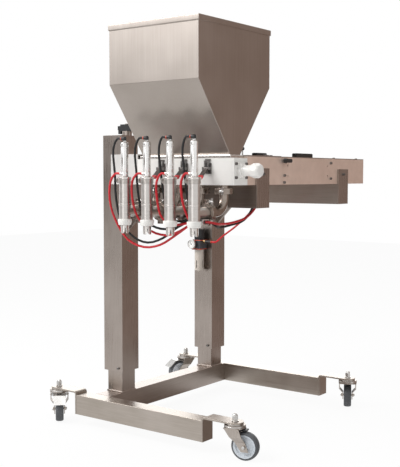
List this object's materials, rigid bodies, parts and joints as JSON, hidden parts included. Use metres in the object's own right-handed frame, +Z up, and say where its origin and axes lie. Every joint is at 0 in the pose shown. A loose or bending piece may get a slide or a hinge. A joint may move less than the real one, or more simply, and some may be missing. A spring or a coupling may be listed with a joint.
{
  "type": "piston batter depositor",
  "caption": "Mobile batter depositor: lifting H-frame on braked casters, square hopper, rotary valve block and a row of spouts fed by air-driven pistons.",
  "frame": {"origin": "on the floor, at the middle of the outline of the machine without its hoses", "axes": "+Z up, +X along the row of spouts toward the valve handle, +Y from the spouts toward the rear of the drive box"},
  "size_m": [1.002, 1.116, 1.472],
  "materials": {
    "stainless_tube": "brushed stainless steel",
    "sheet_steel": "brushed stainless sheet",
    "polished_steel": "turned and polished stainless steel",
    "dull_steel": "cast and blasted stainless steel",
    "caster_zinc": "bright zinc plated pressed steel",
    "alu": "satin anodised aluminium",
    "white_plastic": "machined white plastic",
    "black_plastic": "moulded black plastic",
    "grey_plastic": "moulded dark grey plastic",
    "tread": "grey rubber tread on a grey hub",
    "seal": "black food rubber",
    "red_hose": "glossy red air hose",
    "black_hose": "glossy black air hose",
    "screw_steel": "machined stainless screws"
  },
  "bodies": {
    "stand": {"front_foot": "stainless_tube", "rear_foot": "stainless_tube", "cross_bar": "stainless_tube", "caster_brackets": "stainless_tube", "caster_nuts": "polished_steel", "inner_posts": "stainless_tube", "lift_cylinders": "alu"},
    "caster_fl": {"fork_fl": "caster_zinc"},
    "roller_fl": {"wheel_fl": "tread"},
    "brake_pedal_fl": {"pedal_fl": "caster_zinc"},
    "caster_fr": {"fork_fr": "caster_zinc"},
    "roller_fr": {"wheel_fr": "tread"},
    "brake_pedal_fr": {"pedal_fr": "black_plastic"},
    "caster_rl": {"fork_rl": "caster_zinc"},
    "roller_rl": {"wheel_rl": "tread"},
    "brake_pedal_rl": {"pedal_rl": "caster_zinc"},
    "caster_rr": {"fork_rr": "caster_zinc"},
    "roller_rr": {"wheel_rr": "tread"},
    "brake_pedal_rr": {"pedal_rr": "black_plastic"},
    "head": {"column_sleeves": "stainless_tube", "guide_pads": "white_plastic", "support_arms": "stainless_tube", "lift_rods": "polished_steel", "drive_box": "sheet_steel", "box_covers": "sheet_steel", "manifold_block": "white_plastic", "top_plate": "white_plastic", "valve_housing": "white_plastic", "socket_screws": "screw_steel", "latch_bases": "polished_steel", "spout_bodies": "polished_steel", "spout_caps": "white_plastic", "nozzle_tips": "polished_steel", "spout_heads": "dull_steel", "air_cylinders": "alu", "pipe_clamps": "dull_steel", "feed_pipes": "polished_steel", "air_fittings": "grey_plastic", "measuring_cylinders": "polished_steel", "drive_cylinder": "alu", "regulator_body": "grey_plastic", "regulator_bowl": "grey_plastic", "pressure_gauge": "alu", "red_hoses": "red_hose", "black_hoses": "black_hose"},
    "height_lever": {"lift_lever": "black_plastic"},
    "wing_knob": {"box_knob": "black_plastic"},
    "valve": {"valve_core": "white_plastic", "valve_handle": "white_plastic"},
    "hopper_body": {"hopper": "sheet_steel"},
    "latches": {"latch_levers": "dull_steel"},
    "piston_bank": {"pistons": "white_plastic", "piston_seals": "seal", "crosshead": "alu", "drive_rod": "polished_steel"},
    "pressure_knob": {"regulator_knob": "black_plastic"},
    "spout_plunger_1": {"plunger_1": "polished_steel"},
    "spout_plunger_2": {"plunger_2": "polished_steel"},
    "spout_plunger_3": {"plunger_3": "polished_steel"},
    "spout_plunger_4": {"plunger_4": "polished_steel"}
  },
  "joints": [
    {"name": "head_lift", "type": "slide", "parent": "stand", "child": "head", "axis": [0, 0, 1], "range_m": [-0.05, 0.3]},
    {"name": "swivel_fl", "type": "hinge", "parent": "stand", "child": "caster_fl", "pos_m": [-0.43996, -0.36, 0.049], "axis": [0, 0, 1], "continuous": true},
    {"name": "roll_fl", "type": "hinge", "parent": "caster_fl", "child": "roller_fl", "pos_m": [-0.41262, -0.3864, 0.049], "axis": [0.6947, 0.7193, 0], "continuous": true},
    {"name": "brake_fl", "type": "hinge", "parent": "caster_fl", "child": "brake_pedal_fl", "pos_m": [-0.42557, -0.37389, 0.1019], "axis": [0.6947, 0.7193, 0], "range_deg": [0, 7]},
    {"name": "swivel_fr", "type": "hinge", "parent": "stand", "child": "caster_fr", "pos_m": [0.40704, -0.36, 0.049], "axis": [0, 0, 1], "continuous": true},
    {"name": "roll_fr", "type": "hinge", "parent": "caster_fr", "child": "roller_fr", "pos_m": [0.44398, -0.35107, 0.049], "axis": [-0.2351, 0.972, 0], "continuous": true},
    {"name": "brake_fr", "type": "hinge", "parent": "caster_fr", "child": "brake_pedal_fr", "pos_m": [0.42648, -0.3553, 0.1019], "axis": [-0.2351, 0.972, 0], "range_deg": [0, 7]},
    {"name": "swivel_rl", "type": "hinge", "parent": "stand", "child": "caster_rl", "pos_m": [-0.43996, 0.46, 0.049], "axis": [0, 0, 1], "continuous": true},
    {"name": "roll_rl", "type": "hinge", "parent": "caster_rl", "child": "roller_rl", "pos_m": [-0.45511, 0.42515, 0.049], "axis": [0.9171, -0.3987, 0], "continuous": true},
    {"name": "brake_rl", "type": "hinge", "parent": "caster_rl", "child": "brake_pedal_rl", "pos_m": [-0.44793, 0.44166, 0.1019], "axis": [0.9171, -0.3987, 0], "range_deg": [0, 7]},
    {"name": "swivel_rr", "type": "hinge", "parent": "stand", "child": "caster_rr", "pos_m": [0.40704, 0.46, 0.049], "axis": [0, 0, 1], "continuous": true},
    {"name": "roll_rr", "type": "hinge", "parent": "caster_rr", "child": "roller_rr", "pos_m": [0.38955, 0.49374, 0.049], "axis": [-0.8878, -0.4602, 0], "continuous": true},
    {"name": "brake_rr", "type": "hinge", "parent": "caster_rr", "child": "brake_pedal_rr", "pos_m": [0.39784, 0.47776, 0.1019], "axis": [-0.8878, -0.4602, 0], "range_deg": [0, 7]},
    {"name": "valve_turn", "type": "hinge", "parent": "head", "child": "valve", "pos_m": [0.42004, -0.35, 0.98], "axis": [-1, 0, 0], "range_deg": [0, 90]},
    {"name": "lever_turn", "type": "hinge", "parent": "head", "child": "height_lever", "pos_m": [-0.21996, -0.197, 1.118], "axis": [0, 0, 1], "range_deg": [-45, 45]},
    {"name": "wing_knob_turn", "type": "hinge", "parent": "head", "child": "wing_knob", "pos_m": [0.42004, -0.068, 1.017], "axis": [1, 0, 0], "range_deg": [0, 90]},
    {"name": "latch_swing", "type": "hinge", "parent": "head", "child": "latches", "pos_m": [0.15104, -0.402, 0.9875], "axis": [-1, 0, 0], "range_deg": [0, 100]},
    {"name": "hopper_lift_off", "type": "slide", "parent": "head", "child": "hopper_body", "axis": [0, 0, 1], "range_m": [0, 0.25]},
    {"name": "plunger_1_lift", "type": "slide", "parent": "head", "child": "spout_plunger_1", "axis": [0, 0, 1], "range_m": [0, 0.05]},
    {"name": "plunger_2_lift", "type": "slide", "parent": "head", "child": "spout_plunger_2", "axis": [0, 0, 1], "range_m": [0, 0.05]},
    {"name": "plunger_3_lift", "type": "slide", "parent": "head", "child": "spout_plunger_3", "axis": [0, 0, 1], "range_m": [0, 0.05]},
    {"name": "plunger_4_lift", "type": "slide", "parent": "head", "child": "spout_plunger_4", "axis": [0, 0, 1], "range_m": [0, 0.05]},
    {"name": "dose_stroke", "type": "slide", "parent": "head", "child": "piston_bank", "axis": [0, 1, 0], "range_m": [0, 0.18]},
    {"name": "pressure_set", "type": "hinge", "parent": "head", "child": "pressure_knob", "pos_m": [-0.23346, 0.289, 0.677], "axis": [0, 0, 1], "range_deg": [-540, 540]}
  ],
  "couplings": [
    {"joint": "plunger_2_lift", "follows": "plunger_1_lift", "ratio": 1},
    {"joint": "plunger_3_lift", "follows": "plunger_1_lift", "ratio": 1},
    {"joint": "plunger_4_lift", "follows": "plunger_1_lift", "ratio": 1}
  ]
}
